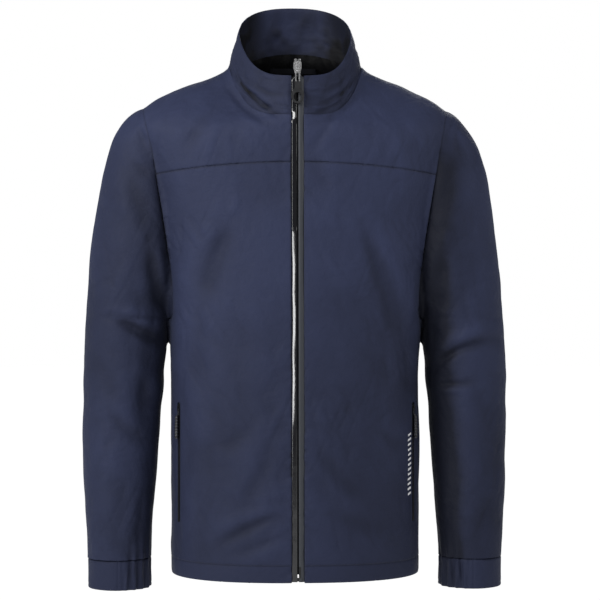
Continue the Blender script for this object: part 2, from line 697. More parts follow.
def sleeve_relief(points, normals):
    x, y, z = points.T
    seen = sighted(points)
    seam = smooth(0, 14, armhole(points))
    facing = smooth(0.02, 0.45, -normals[:, 1])
    rear = smooth(0.02, 0.45, normals[:, 1])
    lift = cloth_relief(points, normals)
    for side, table in ((-1, RIGHT_SLEEVE_FOLDS), (1, LEFT_SLEEVE_FOLDS)):
        lift += np.where(x * side > 0, facing * seam * folds(seen, table), 0)
    away = normals[:, 0] * np.sign(x)
    outer, inner = smooth(-0.2, 0.7, away), smooth(-0.2, 0.7, -away)
    # Elbow folds run on round the sleeve, and the underarm breaks in a few short ones.
    waves = np.sin((z - 0.35 * y * np.sign(x)) / 9.5 + 1.6 * noise(points, 60, 9))
    lift += bell(z - 262, 60) * (0.9 * rear + 0.9 * inner + 0.35 * outer) * waves
    under = bell(z - 352, 42) * (inner + 0.6 * rear)
    lift += seam * under * 1.2 * np.sin(z / 6.5 + 0.05 * y)
    # The gathered half of the cuff pulls the sleeve end in.
    angle, inward = around_arm(points)
    gathered = fading(z - CUFF_TOP, 20.0) * smooth(0.05, 0.55, inward)
    lift += gathered * (1.5 * gathers(angle) - 1.6)
    # The head of the sleeve is eased in with small puckers.
    head = fading(armhole(points), 16.0) * smooth(520, 600, z)
    lift += seam * head * 0.6 * np.sin(y / 4.2 + z / 9.0)
    return lift


# ---------- materials ----------
class Graph:
    """Adds and links the nodes of one tree; a value may be a number or a socket."""

    def __init__(self, tree):
        self.tree = tree

    def put(self, socket, value):
        if isinstance(value, bpy.types.NodeSocket):
            self.tree.links.new(value, socket)
        else:
            socket.default_value = value

    def node(self, kind, **values):
        node = self.tree.nodes.new(kind)
        for key, value in values.items():
            if key in node.inputs:
                self.put(node.inputs[key], value)
            else:
                setattr(node, key, value)
        return node

    def math(self, operation, *values):
        node = self.node("ShaderNodeMath", operation=operation)
        for socket, value in zip(node.inputs, values):
            self.put(socket, value)
        return node.outputs[0]

    def noise(self, vector, scale, detail=3.0, roughness=0.55):
        return self.node("ShaderNodeTexNoise", Vector=vector, Scale=scale, Detail=detail,
                         Roughness=roughness).outputs["Fac"]

    def separate(self, vector):
        return self.node("ShaderNodeSeparateXYZ", Vector=vector).outputs

    def scaled(self, colour, factor):
        node = self.node("ShaderNodeVectorMath", operation="SCALE", Scale=factor)
        node.inputs[0].default_value = colour
        return node.outputs[0]

    def bump(self, height, strength, depth, **normal):
        """depth is in mm."""
        return self.node("ShaderNodeBump", Height=height, Strength=strength,
                         Distance=depth * 0.001, **normal).outputs[0]


def new_material(name, base, rough, metal=0.0):
    material = bpy.data.materials.new(name)
    material.use_nodes = True
    shader = material.node_tree.nodes["Principled BSDF"]
    shader.inputs["Base Color"].default_value = (*base, 1)
    shader.inputs["Roughness"].default_value = rough
    shader.inputs["Metallic"].default_value = metal
    return material, Graph(material.node_tree), shader.inputs


def srgb(*levels):
    """Linear colour from sRGB levels of 0 to 255."""
    return tuple(c / 255 / 12.92 if c <= 10 else ((c / 255 + 0.055) / 1.055) ** 2.4
                 for c in levels)


AO_DISTANCE, AO_SHADE = 0.06, 0.55  # metres; share of the colour lost where fully hidden
SHEEN_TINT = (0.55, 0.6, 0.8)


def cloth_material(name, base, rough, sheen, pitch, weave=0.05, crumple=0.25, spread=0.10,
                   spec=0.35):
    """pitch is the thread spacing, weave and crumple are bump depths, all in mm.

    spread is how much the colour varies.
    """
    material, graph, inputs = new_material(name, base, rough)
    math_node = graph.math
    place = graph.node("ShaderNodeTexCoord").outputs["Object"]
    cloth = graph.separate(graph.node("ShaderNodeUVMap", uv_map="cloth").outputs[0])
    across = math_node("MULTIPLY", cloth[0], 10.0)
    along = math_node("MULTIPLY", cloth[1], 10.0)
    # Plain weave: each thread rises over one and passes under the next.
    warp = math_node("SINE", math_node("MULTIPLY", across, math.pi / pitch))
    weft = math_node("SINE", math_node("MULTIPLY", along, math.pi / pitch))
    over = math_node("MULTIPLY", warp, weft)
    threads = math_node("ADD", math_node("ABSOLUTE", warp), math_node("ABSOLUTE", weft))
    weave_height = math_node(
        "ADD", math_node("MULTIPLY", over, 0.5), math_node("MULTIPLY", threads, 0.35))
    broad = graph.noise(place, 9.0, detail=2.0)
    mottle = graph.noise(place, 55.0)
    fine = graph.noise(place, 420.0, detail=2.0, roughness=0.6)
    streaks = graph.node("ShaderNodeCombineXYZ", X=math_node("MULTIPLY", across, 0.08),
                         Y=math_node("MULTIPLY", along, 1.3))
    slub = graph.noise(streaks.outputs[0], 1.0, detail=2.0, roughness=0.5)
    # Colour: the noises by their share of the spread, and lighter tops of the threads.
    shift = None
    for grain, share in ((broad, 1.0), (mottle, 0.9), (fine, 1.6), (slub, 1.0)):
        term = math_node("MULTIPLY", math_node("SUBTRACT", grain, 0.5), spread * share)
        shift = math_node("ADD", shift, term) if shift else term
    shift = math_node("ADD", shift, math_node("MULTIPLY", over, 0.09))
    factor = math_node("ADD", shift, 1.0)
    hidden = graph.node("ShaderNodeAmbientOcclusion", Distance=AO_DISTANCE, samples=4)
    light = math_node("ADD", 1.0 - AO_SHADE, math_node("MULTIPLY", hidden.outputs["AO"], AO_SHADE))
    factor = math_node("MULTIPLY", factor, light)
    tone = graph.node("ShaderNodeAttribute", attribute_name="tone")
    factor = math_node("MULTIPLY", factor, math_node("ADD", 1.0, tone.outputs["Fac"]))
    graph.put(inputs["Base Color"], graph.scaled(base, factor))
    grain = math_node("ADD", fine, math_node("MULTIPLY", mottle, 0.6))
    graph.put(inputs["Roughness"],
              math_node("ADD", rough - 0.06, math_node("MULTIPLY", grain, 0.09)))
    woven = graph.bump(weave_height, strength=0.9, depth=weave)
    uneven = math_node("ADD", graph.noise(place, 130.0), math_node("MULTIPLY", mottle, 1.8))
    uneven = math_node("ADD", uneven, math_node("MULTIPLY", fine, 0.35))
    graph.put(inputs["Normal"], graph.bump(uneven, strength=1.0, depth=crumple, Normal=woven))
    inputs["Sheen Weight"].default_value = sheen
    inputs["Sheen Roughness"].default_value = 0.45
    inputs["Sheen Tint"].default_value = (*SHEEN_TINT, 1)
    inputs["Specular IOR Level"].default_value = spec
    return material


def hard_material(name, base, rough, metal=0.0, spec=0.5, scale=900.0, grain=0.03, ribs=None):
    """scale sets the grain's fineness, grain its depth in mm; ribs is a spacing in metres."""
    material, graph, inputs = new_material(name, base, rough, metal)
    math_node = graph.math
    place = graph.node("ShaderNodeTexCoord").outputs["Object"]
    height = graph.noise(place, scale)
    mottle = graph.noise(place, scale * 0.13, detail=4.0, roughness=0.65)
    shift = math_node("MULTIPLY", math_node("SUBTRACT", mottle, 0.5), 0.22)
    factor = math_node("ADD", 1.0, shift)
    if ribs:
        axes = graph.separate(place)
        twist = math_node("ADD", axes[2], math_node("MULTIPLY", axes[1], 0.6))
        band = math_node("SINE", math_node("MULTIPLY", twist, math.tau / ribs))
        glint = math_node("POWER", math_node("MAXIMUM", band, 0.0), 2.0)
        factor = math_node("ADD", factor, math_node("MULTIPLY", glint, 9.0))
    graph.put(inputs["Base Color"], graph.scaled(base, factor))
    graph.put(inputs["Roughness"],
              math_node("ADD", rough - 0.05, math_node("MULTIPLY", mottle, 0.12)))
    if ribs:
        axes = graph.separate(place)
        height = math_node("MULTIPLY", height, 0.4)
        turn = math_node("MULTIPLY", axes[2], math.tau / ribs)
        height = math_node("ADD", height, math_node("SINE", turn))
    graph.put(inputs["Normal"], graph.bump(height, strength=0.7, depth=grain))
    inputs["Specular IOR Level"].default_value = spec
    return material


NAVY = srgb(42, 48, 73.5)
SHELL = cloth_material("shell_cloth", NAVY, rough=0.66, sheen=0.06, pitch=0.55, crumple=0.6,
                       spread=0.11, spec=0.2)
FACING = cloth_material("facing_cloth", tuple(0.72 * c for c in NAVY), rough=0.70, sheen=0.05,
                        pitch=0.55, spec=0.22)
LINING = cloth_material("lining_taffeta", srgb(20, 23, 35), rough=0.5, sheen=0.1, pitch=0.35,
                        weave=0.025, crumple=0.5, spread=0.14, spec=0.35)
NECK = cloth_material("neck_taffeta", srgb(10, 11, 17), rough=0.62, sheen=0.03, pitch=0.35,
                      weave=0.025, crumple=0.5, spread=0.14, spec=0.12)
ELASTIC = cloth_material("knitted_elastic", srgb(32, 34, 42), rough=0.85, sheen=0.1, pitch=1.6,
                         weave=0.25, crumple=0.2)
CORD = cloth_material("braided_cord", srgb(24, 26, 34), rough=0.8, sheen=0.15, pitch=0.8,
                      weave=0.2, crumple=0.15)
LOOP_TAPE = cloth_material("loop_tape", srgb(13, 14, 19), rough=0.8, sheen=0.05, pitch=0.9,
                           weave=0.12, crumple=0.1, spec=0.1)
THREAD = cloth_material("sewing_thread", srgb(44, 48, 66), rough=0.7, sheen=0.2, pitch=0.25,
                        weave=0.05, crumple=0.05)
GLOSS_FILM = hard_material("tape_film_gloss", srgb(12, 13, 18), rough=0.10, spec=1.0,
                           scale=260.0, grain=0.05)
SATIN_FILM = hard_material("tape_film_satin", srgb(49, 52, 58), rough=0.5, scale=700.0,
                           grain=0.04)
POCKET_FILM = hard_material("tape_film_pocket", srgb(9, 10, 15), rough=0.3, spec=0.4,
                            scale=260.0, grain=0.05)
COIL = hard_material("nylon_coil", srgb(22, 23, 26), rough=0.4, scale=1500.0)
METAL = hard_material("nickel", (0.92, 0.92, 0.93), rough=0.24, metal=1.0, scale=1200.0,
                      grain=0.012)
PLASTIC = hard_material("moulded_black", srgb(20, 21, 24), rough=0.42, scale=1800.0, grain=0.02)
GRIP = hard_material("moulded_grip", srgb(15, 16, 20), rough=0.3, scale=1500.0, grain=0.05,
                     ribs=0.0042)
REFLECTIVE = hard_material("reflective_print", srgb(232, 233, 236), rough=0.4, scale=2500.0)


# ---------- the outer form: torso and arms grown into one skin ----------
def remeshed(solids):
    points, faces = joined(solids)
    mesh = bpy.data.meshes.new("form")
    mesh.from_pydata(points.tolist(), [], [face for part in faces for face in part.tolist()])
    obj = bpy.data.objects.new("form", mesh)
    bpy.context.scene.collection.objects.link(obj)
    modifier = obj.modifiers.new("skin", "REMESH")
    modifier.mode = "VOXEL"
    modifier.voxel_size = VOXEL
    modifier.adaptivity = 0
    grown = obj.evaluated_get(bpy.context.evaluated_depsgraph_get()).to_mesh()
    places = np.zeros(len(grown.vertices) * 3, np.float32)
    grown.vertices.foreach_get("co", places)
    grown.calc_loop_triangles()
    corners = np.zeros(len(grown.loop_triangles) * 3, np.int32)
    grown.loop_triangles.foreach_get("vertices", corners)
    bpy.data.objects.remove(obj)
    bpy.data.meshes.remove(mesh)
    return places.reshape(-1, 3).astype(float), corners.reshape(-1, 3)


solids = [capped(rings_over(torso, 220, np.linspace(0, RING_LENGTHS[-1], 150)))]
for _, side in SIDES:
    solids.append(capped(rings_over(arm, 120, np.linspace(0, ARM_LENGTHS[-1], 140), side)))
form, skin = remeshed(solids)
form = relax(form, skin, 10)
shoulder = smooth(560, 620, form[:, 2]) * bell(armhole(form), 16)
form = relax(form, skin, 10, factors=(0.5,), weight=shoulder[:, None])

# ---------- cutting the skin along its seams; data holds points and normals ----------
data = np.concatenate([form, vertex_normals(form, skin)], 1)
in_neck = (form[:, 0] / 90.0) ** 2 + (form[:, 1] / 82.0) ** 2 < 0.75
above_neck = np.where(form[:, 2] > 560, np.where(in_neck, 5.0, neckline(form)), -50.0)
data, skin, _ = split(data, skin, -above_neck)
data, sleeves, body = split(data, skin, armhole(data))
data, sleeves = scored(data, sleeves, armhole, SEAM_HALF)
data, body = scored(data, body, armhole, -SEAM_HALF)
data, sleeves, _ = split(data, sleeves, data[:, 2] - CUFF_TOP)
data, body, _ = split(data, body, data[:, 2] - HEM)
data, body = scored(data, body, hem_seam, -FINE_SEAM_HALF, 0.0, FINE_SEAM_HALF)
data, body = scored(data, body, neckline, -SEAM_HALF)
data, back, front = split(data, body, side_seam(data))
data, upper_back, lower_back = split(data, back, back_yoke(data))
data, upper_back = scored(data, upper_back, back_yoke, SEAM_HALF)
data, lower_back = scored(data, lower_back, back_yoke, -SEAM_HALF)
data, front, _ = split(data, front, zip_edge(data))
data, front = scored(data, front, zip_edge, SEAM_HALF)
data, front, _ = split(data, front, pocket_slot(data))
data, front = scored(data, front, pocket_slot, FINE_SEAM_HALF)
data, upper_front, lower_front = split(data, front, front_yoke(data))
data, upper_front = scored(data, upper_front, front_yoke, SEAM_HALF)
data, lower_front = scored(data, lower_front, front_yoke, -SEAM_HALF)

panels = {}
for label, triangles in (
        ("sleeve", sleeves), ("front_yoke", upper_front), ("front_panel", lower_front)):
    middle = data[triangles, 0].mean(1)
    for name, side in SIDES:
        panels[f"{label}_{name}"] = triangles[middle * side > 0]
panels["back_yoke"], panels["back_panel"] = upper_back, lower_back


# ---------- shell panels ----------
def body_sink(points):
    """The seams drawn in."""
    z = points[:, 2]
    front = points[:, 1] < SIDE_SEAM_Y
    sink = -(0.35 + 0.5 * smooth(600, 480, z)) * bell(armhole(points), 1.6)
    sink -= 0.7 * bell(yoke(points), 1.2)
    sink -= 0.7 * bell(neckline(points), 1.5)
    sink -= 0.7 * bell(side_seam(points), 1.4)
    sink -= 0.6 * bell(hem_seam(points), 1.2)
    sink -= np.where(front & (z < 700), 0.8 * bell(zip_edge(points), 1.3), 0)
    sink -= 0.7 * bell(pocket_slot(points), 1.2)
    return sink - 0.6 * bell(z - HEM, 2.0)


def sleeve_sink(points, normals):
    low = smooth(600, 480, points[:, 2])
    seam = armhole(points)
    beside = fading(seam, 7.0) * smooth(0.0, 0.5, -normals[:, 1]) * low
    return -(0.6 + 1.6 * low) * bell(seam, 1.6) - 2.0 * beside


def body_uv(points):
    x, y = points[:, 0], points[:, 1]
    around = np.arctan2(x, np.where(y < SIDE_SEAM_Y, -y, y) + 40) * 150
    return np.stack([around, points[:, 2]], 1)


SLEEVE_UV_RADIUS = 52
SLEEVE_WRAP = math.tau * SLEEVE_UV_RADIUS


def sleeve_uv(points):
    return np.stack([around_arm(points)[0] * SLEEVE_UV_RADIUS, points[:, 2]], 1)


# Worn tone: valleys are darker, ridges lighter, and seams and rubbed places darker.
def cloth_tone(points, lift):
    tone = np.clip(0.075 * (lift - 0.2), -0.24, 0.14)
    return tone - 0.20 * smooth(520, 40, points[:, 2]) - 0.30 * bell(armhole(points), 1.1)


def body_tone(points, lift):
    tone = cloth_tone(points, lift)
    for field, depth in ((yoke, 0.42), (neckline, 0.35), (side_seam, 0.25), (hem_seam, 0.18)):
        tone -= depth * bell(field(points), 1.1)
    tone -= 0.13 * smooth(10, 110, points[:, 0]) * smooth(420, 250, points[:, 2])
    return np.maximum(tone, -0.75)


def sleeve_tone(points, normals, lift):
    x, y, z = points.T
    left = x > 0
    inner = smooth(0.15, 0.75, -normals[:, 0] * np.sign(x)) * smooth(600, 420, z)
    rub = bell(np.maximum(np.abs(x) - armhole_x(z), 0), 42.0)
    rub = rub * smooth(0.0, 0.5, -normals[:, 1]) * smooth(630, 520, z) * smooth(250, 400, z)
    facing = smooth(0.2, -0.4, normals[:, 1])
    right_shade = 0.17 * smooth(620, 480, z) * smooth(180, 330, z)
    tone = cloth_tone(points, lift)
    tone -= np.where(left, 0.66, 0.02) * inner + np.where(left, 1.05, 0.2) * rub
    tone -= facing * np.where(left, 0.20 * smooth(350, 180, z), right_shade)
    return np.maximum(tone, -0.75)


def bend_with_sleeve(obj):
    """The sleeve turns little by little, its outer side from the shoulder down."""
    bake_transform(obj)


def unpacked(rows):
    return rows[:, :3], unit(rows[:, 3:])


surfaces = {}  # rest points, normals and finished points of each panel
for name, triangles in panels.items():
    triangles, rows = compact(triangles, data)
    points, normals = unpacked(rows)
    sleeve = name.startswith("sleeve")
    if sleeve:
        lift = sleeve_relief(points, normals)
        sink = sleeve_sink(points, normals)
        look = dict(uv=sleeve_uv(points), wrap=SLEEVE_WRAP,
                    tone=sleeve_tone(points, normals, lift))
    else:
        lift = body_relief(points, normals)
        sink = body_sink(points)
        look = dict(uv=body_uv(points), tone=body_tone(points, lift))
    finished = points + normals * (lift + sink)[:, None]
    obj = piece("shell_" + name, thicken(finished, normals, triangles, 1.3), SHELL, "shell", name,
                rides=None if sleeve else "jacket", sharp=70, **look)
    surfaces[name] = (points, normals, finished)
    if sleeve:
        bend_with_sleeve(obj)

# ---------- cuffs ----------
CUFF_X, CUFF_Y = 247, -15
CUFF_HALF_X, CUFF_HALF_Y = 44.2, 42.5
CUFF_UV_RADIUS = 44


def cuff(side):
    """A folded band, gathered on the half that faces the body."""
    top, bottom = CUFF_TOP - 0.2, CUFF_END + 0.3
    # (inset, z): outside, rounded end, inside, and the turned-in layer down and up again.
    profile = [(0.0, z) for z in np.linspace(top, bottom + 2.2, 14)]
    profile += [(1.9 - 1.9 * math.cos(a), bottom + 2.0 - 2.0 * math.sin(a))
                for a in np.linspace(0.25, 0.75, 4) * math.pi]
    profile += [(3.8, z) for z in np.linspace(bottom + 2.2, top, 10)]
    profile += [(2.7, z) for z in np.linspace(top, bottom + 4.0, 8)]
    profile += [(1.1, z) for z in np.linspace(bottom + 4.0, top, 8)]
    profile = np.array(profile)
    angle, station = np.meshgrid(np.linspace(0, math.tau, 260, endpoint=False),
                                 np.arange(len(profile)), indexing="ij")
    inset, z = profile[station, 0], profile[station, 1]
    cos, sin = np.cos(angle), np.sin(angle)
    gathered = smooth(0.02, 0.35, -cos)
    middle = np.sin(np.clip((z - bottom) / (top - bottom), 0, 1) * math.pi)
    ripple = 1.35 * gathers(angle) + 0.4 * np.sin(angle * 39 + z / 9.0)
    ripple = gathered * (0.9 + 0.5 * middle) * ripple
    pull = gathered * (1.2 + 0.9 * middle)
    places = np.stack([cos, sin, z / 60], -1).reshape(-1, 3)
    soft = (0.35 * noise(places, 0.35, 11)).reshape(angle.shape)
    seam = 0.7 * bell(angle % math.pi - math.pi / 2, 0.028)
    band = 0.8 * bell(z - (top - 0.2), 1.2) + 0.35 * bell(z - (bottom + 5.5), 0.8)
    offset = ripple - pull + soft - np.where(inset < 0.5, seam + band, 0) - inset
    x = CUFF_X + (CUFF_HALF_X + offset) * cos
    y = CUFF_Y + (CUFF_HALF_Y + offset) * sin
    points = np.stack([side * x, y, z], -1).reshape(-1, 3)
    quads = grid_faces(*angle.shape, closed_rows=True, closed_columns=True)
    uv = np.stack([angle.ravel() * CUFF_UV_RADIUS, z.ravel() + inset.ravel() * 3], 1)
    return outward(points, [quads]), uv


def cuff_elastic(side):
    """A thin band inside the gathered half."""
    half_x, half_y = 42.3, 40.6
    angle, z = np.meshgrid(np.linspace(math.radians(100), math.radians(260), 160),
                           np.linspace(CUFF_END + 6, CUFF_TOP - 3, 14), indexing="ij")
    cos, sin = np.cos(angle), np.sin(angle)
    lift = (1.3 * gathers(angle) - 1.9) * smooth(0.02, 0.35, -cos) + 0.08 * np.sin(z * 2.4)
    points = np.stack([side * (CUFF_X + (half_x + lift) * cos),
                       CUFF_Y + (half_y + lift) * sin, z], -1).reshape(-1, 3)
    normals = np.stack([side * cos, sin, 0 * angle], -1).reshape(-1, 3)
    triangles = turned(points, halved(grid_faces(*angle.shape)), normals)
    uv = np.stack([angle.ravel() * half_x, z.ravel()], 1)
    return thicken(points, normals, triangles, 0.5), uv


for name, side in SIDES:
    solid, uv = cuff(side)
    inner = smooth(0.0, 0.8, (CUFF_X - np.abs(solid[0][:, 0])) / 44.0)
    piece("cuff_band_" + name, solid, SHELL, "shell", "cuff_" + name, name + "_sleeve", uv=uv,
          wrap=math.tau * CUFF_UV_RADIUS, tone=-0.24 - (0.30 if side > 0 else 0.12) * inner)
    solid, uv = cuff_elastic(side)
    piece("cuff_elastic_band_" + name, solid, ELASTIC, "elastic", "cuff_elastic_" + name,
          name + "_sleeve", uv=uv)

# ---------- collar ----------
# Half width, back depth, height at side, front and back, power of the front and back rise.
COLLAR = np.array([
    (97.2, 85.8, 702.5, 627.5, 728.5, 4.5, 2.2),
    (93.6, 84.6, 707, 632, 733, 4.5, 2.2),
    (91.6, 84.5, 717, 642, 749, 4.4, 2.4),
    (86.6, 82.0, 734, 662, 776, 4.5, 2.6),
    (80.8, 76.5, 751, 680.5, 801.0, 4.6, 2.8),
], float)
COLLAR_RISE = np.array([0, 0.06, 0.33, 0.67, 1.0])  # 0 at the neck seam, 1 at the top edge


def collar_surface(around, rise):
    """around is 0 at the centre front and pi at the back."""
    width, depth, side_z, front_z, back_z, front_power, back_power = columns_at(
        COLLAR_RISE, COLLAR, rise)
    sin, cos = np.sin(around), np.cos(around)
    beside = np.abs(sin)
    front = cos > 0
    power = 2 / (2.0 + 0.4 * rise)
    back = np.maximum(-cos, 0.0) ** power
    level = (1 - rise) * (1 - beside**back_power) + rise * back
    ahead = np.maximum(cos, 0.0)
    dip = 0.3 * ahead + 0.7 * np.sin(math.pi / 2 * np.minimum(ahead**1.55 * 1.03, 1.0))
    drop = (1 - rise) * (1 - beside**front_power) + rise * dip
    z = np.where(front, side_z - (side_z - front_z) * drop, side_z + (back_z - side_z) * level)
    y = np.where(front, -front_depth(front_z) * cos, depth * back)
    x = width * np.sign(sin) * np.where(front, beside, beside**power)
    return np.stack([x, y, z], -1)


columns, rows = 420, 34
rise = np.linspace(0, 1, rows)
start = np.arcsin((ZIP_HALF + 0.2) / pchip(COLLAR_RISE, COLLAR[:, 0], rise))
along = np.linspace(0, 1, columns)
around = (start + (math.tau - 2 * start) * along[:, None]).ravel()
rise = np.tile(rise, columns)
sheet = collar_surface(around, rise)
grid = sheet.reshape(columns, rows, 3)
normals = unit(np.cross(np.gradient(grid, axis=0), np.gradient(grid, axis=1))).reshape(-1, 3)
collar_uv = np.stack([around * 86, rise * 62], 1)
base_lift = 0.35 * noise(sheet, 40, 21) + 0.22 * noise(sheet, 15, 22)
unrolled = np.stack([*collar_uv.T, 0 * rise], 1)
# Long creases round the collar: length, width, slope, depth.
for k, (length, width, slope, depth) in enumerate(
        [(42, 7.0, 0.16, 0.62), (30, 5.0, -0.22, 0.45), (55, 10.0, 0.05, 0.6)]):
    places = np.stack([unrolled[:, 0] / length,
                       (unrolled[:, 1] + slope * np.abs(unrolled[:, 0])) / width,
                       unrolled[:, 2]], 1)
    gate = smooth(-0.2, 0.5, noise(unrolled, 30, 171 + k))
    waves = np.abs(noise(places, 1.0, 161 + k))
    base_lift += 1.3 * depth * gate * (np.minimum(waves * 2.4, 1.0) - 0.7)
roll = smooth(0.93, 1.0, rise)  # the turn at the top edge
ends = np.repeat(smooth(0.0, 0.008, along) * smooth(0.0, 0.008, 1 - along), rows)


def collar_piece(node, material, offset, lip, facing, tone):
    """facing is 1 for the outside and -1 for the inside."""
    points = sheet + normals * offset[:, None]
    points[:, 2] += 1.0 * (1 - (1 - roll) ** 2) - lip * roll
    outside = normals * facing
    triangles = turned(points, halved(grid_faces(columns, rows)), outside)
    piece(node + "_cloth", thicken(points, outside, triangles, 0.9), material, "shell", node,
          uv=collar_uv, sharp=70, tone=np.maximum(tone, -0.93))


lift = base_lift + smooth(0.0, 0.4, -normals[:, 1]) * folds(sighted(sheet), NECK_FOLDS) * 1.1
lift += 0.75 * rumple(sheet)
lift += 0.35 * np.exp(-rise / 0.12) * np.sin(sheet[:, 0] / 3.6 + 1.5 * noise(sheet, 20, 24))
offset = lift * (1 - 0.6 * roll) - 0.9 * roll**2 - 0.8 * (1 - ends) - 1.0 * bell(rise, 0.03)
tone = np.clip(0.15 * lift, -0.4, 0.2) - 0.30 * smooth(0.2, -0.5, normals[:, 1])
collar_piece("collar_outer", SHELL, offset, lip=0.0, facing=1, tone=tone)

# The facing breaks in soft hollows.
lift = base_lift + 2.7 * noise(sheet * [1, 1, 0.8], 24, 25) + 1.3 * noise(sheet, 11, 26)
lift *= 0.25 + 0.75 * np.sin(rise * math.pi)
lift += 0.5 * np.exp(-rise / 0.10) * np.sin(sheet[:, 0] / 3.2)
offset = -2.9 + np.minimum(lift, 0.9) * 0.8 + 0.9 * roll**2 - 0.6 * bell(rise, 0.03)
tone = np.clip(0.26 * lift, -0.4, 0.2) - 0.84 * smooth(0.36, 0.72, np.abs(np.sin(around)))
tone -= 0.25 * smooth(0.5, 0.0, rise)
collar_piece("collar_facing", FACING, offset, lip=0.6, facing=-1, tone=tone)


# ---------- inner layers hung from the forms ----------
def cut_layer(grid, cuts):
    """Cuts a grid of rings along fields; returns outward triangles, points and normals."""
    normals = np.cross(np.roll(grid, -1, 1) - np.roll(grid, 1, 1), np.gradient(grid, axis=0))
    normals /= np.maximum(np.linalg.norm(normals, axis=2), 1e-9)[..., None]
    if ((grid - grid.mean(1, keepdims=True)) * normals).sum() < 0:
        normals = -normals
    points, normals = grid.reshape(-1, 3), normals.reshape(-1, 3)
    quads = grid_faces(*grid.shape[:2], closed_columns=True)
    triangles = turned(points, halved(quads), normals)
    rows = np.concatenate([points, normals], 1)
    for field in cuts:
        rows, triangles, _ = split(rows, triangles, field(rows))
    triangles, rows = compact(triangles, rows)
    return triangles, *unpacked(rows)


def inner_layer(name, node, material, depth, lengths, around, cuts, thickness=0.6, puff=1.0,
                slot="lining", seed=31):
    grid = rings_over(torso, around, lengths)
    triangles, points, normals = cut_layer(grid, cuts)
    billow = 1.0 * noise(points * [1, 1, 0.45], 24, seed)
    billow = billow + 0.6 * noise(points * [1, 1, 0.7], 11, seed + 1) - 0.9
    lift = 0.75 * body_relief(points, normals) + puff * billow
    placed_points = points + normals * (-depth + np.minimum(lift, 1.6))[:, None]
    tone = -0.6 * smooth(540, 640, points[:, 2]) + np.clip(0.06 * lift, -0.2, 0.1)
    piece(name, thicken(placed_points, -normals, triangles[:, ::-1], thickness), material, slot,
          node, uv=body_uv(points), sharp=70, tone=tone)


inner_layer(
    "lining_body", "body_lining", LINING, depth=8.2, around=480,
    lengths=np.linspace(torso_length(HEM_SEAM), RING_LENGTHS[-1], 240), cuts=[
        lambda d: -armhole(d) - 1.6,
        lambda d: np.where(d[:, 1] < 0, np.abs(d[:, 0]) - 18.0, 50.0),
        lambda d: np.where((d[:, 1] > 14) & (np.abs(d[:, 0]) < 122), 674.0 - d[:, 2],
                           3.5 - neckline(d)),
    ])
inner_layer(
    "lining_neck_back", "neck_facing", NECK, depth=7.6, around=520, puff=1.9, slot="shell",
    seed=51, lengths=np.linspace(torso_length(640.0), RING_LENGTHS[-1], 120), cuts=[
        lambda d: np.where(d[:, 1] > 14, 120.0 - np.abs(d[:, 0]), -5.0),
        lambda d: d[:, 2] - 675.0,
        lambda d: 4.0 - neckline(d),
    ])


def hem_turnup():
    """The cloth turns under and runs up inside to the hem seam."""
    # (depth behind the face, z)
    profile = [(0.9, HEM + 1.6), (1.2, HEM + 0.7), (2.2, HEM + 0.1), (3.6, HEM),
               (5.2, HEM + 0.2), (6.3, HEM + 1.0)]
    profile += [(6.7, z) for z in np.linspace(HEM + 2.2, HEM_SEAM, 8)]
    profile = np.array(profile)
    around = 520
    grid = rings_over(torso, around, [torso_length(z) for z in profile[:, 1]])
    grid[..., 2] = profile[:, 1][:, None]
    tangents = np.roll(grid, -1, 1) - np.roll(grid, 1, 1)
    normals = unit(np.cross(tangents, [0.0, 0.0, 1.0])).reshape(-1, 3)
    rest = grid.reshape(-1, 3)
    depth = np.repeat(profile[:, 0], around)
    points = rest + normals * (body_relief(rest, normals) - depth)[:, None]
    # The bare side faces down at the fold and inward above it.
    down = np.array([0, 0, -1.0]) * (1 - smooth(3.6, 6.2, depth))[:, None]
    facing = unit(down - normals * smooth(1.0, 5.0, depth)[:, None])
    triangles = halved(grid_faces(len(profile), around, closed_columns=True))
    at_front = points[triangles, 1].mean(1) < 0
    at_zip = at_front & (np.abs(points[triangles, 0]).min(1) < 10.5)
    triangles = turned(points, triangles[~at_zip], facing)
    triangles, rows = compact(triangles, np.concatenate([points, facing, rest], 1))
    piece("hem_turnup", thicken(rows[:, :3], rows[:, 3:6], triangles, 0.7), FACING, "shell",
          "hem_facing", uv=body_uv(rows[:, 6:]), sharp=70)


hem_turnup()

for name, side in SIDES:
    grid = rings_over(arm, 150, np.linspace(0, ARM_LENGTHS[-1], 190), side, 5.2)
    triangles, points, normals = cut_layer(
        grid, [lambda d: armhole(d) - 2.0, lambda d: d[:, 2] - (CUFF_TOP + 1.0)])
    lift = 0.6 * noise(points * [1, 1, 0.6], 20, 41) - 1.6
    lift += np.minimum(sleeve_relief(points, normals), 0.0) * 1.05
    solid = thicken(points + normals * lift[:, None], -normals, triangles[:, ::-1], 0.6)
    obj = piece("lining_sleeve_" + name, solid, LINING, "lining", "sleeve_lining_" + name,
                rides=None, uv=sleeve_uv(points), wrap=SLEEVE_WRAP, sharp=70)
    bend_with_sleeve(obj)


# ---------- zips: local points are (across, depth behind the face, height along) ----------
def frame_points(zip_frame, local):
    origin, across, up, out = zip_frame
    return origin + local[:, :1] * across - local[:, 1:2] * out + local[:, 2:3] * up


def placed(zip_frame, solid):
    points, faces = solid
    return outward(frame_points(zip_frame, points), faces)


front_up = unit(np.array([0, FRONT_LEAN, 1.0]))
FRONT_ZIP = (np.array([0, -FRONT_DEPTH, 0.0]), np.array([1.0, 0, 0]), front_up,
             np.cross(np.array([1.0, 0, 0]), front_up))

